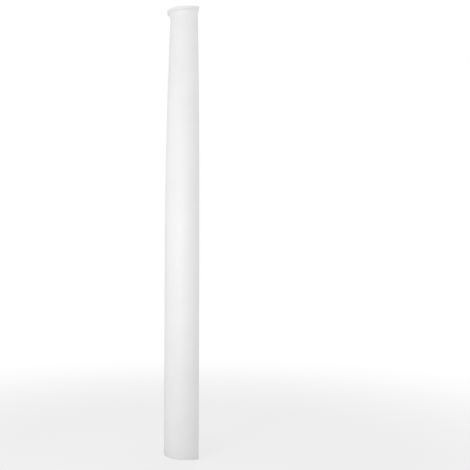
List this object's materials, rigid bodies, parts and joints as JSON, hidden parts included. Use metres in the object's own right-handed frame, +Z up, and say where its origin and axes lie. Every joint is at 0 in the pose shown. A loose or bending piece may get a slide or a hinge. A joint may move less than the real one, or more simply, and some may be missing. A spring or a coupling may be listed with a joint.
{
  "type": "half column shaft",
  "caption": "Plain half-round column shaft with entasis, a coved and filleted collar at its head, a flat back, and flat cut ends.",
  "frame": {"origin": "middle of the shaft's bounding box at the level of its foot, so the flat back lies 55 mm behind it", "axes": "+Z up the shaft from foot to collar, -Y out of the wall towards the viewer, +X to the viewer's right"},
  "size_m": [0.22, 0.11, 2.02],
  "materials": {
    "primed_polyurethane": "moulded hard foam with a smooth, matt to eggshell white primer, ready for paint"
  },
  "bodies": {
    "root": {"half_column_shaft": "primed_polyurethane"}
  },
  "joints": []
}
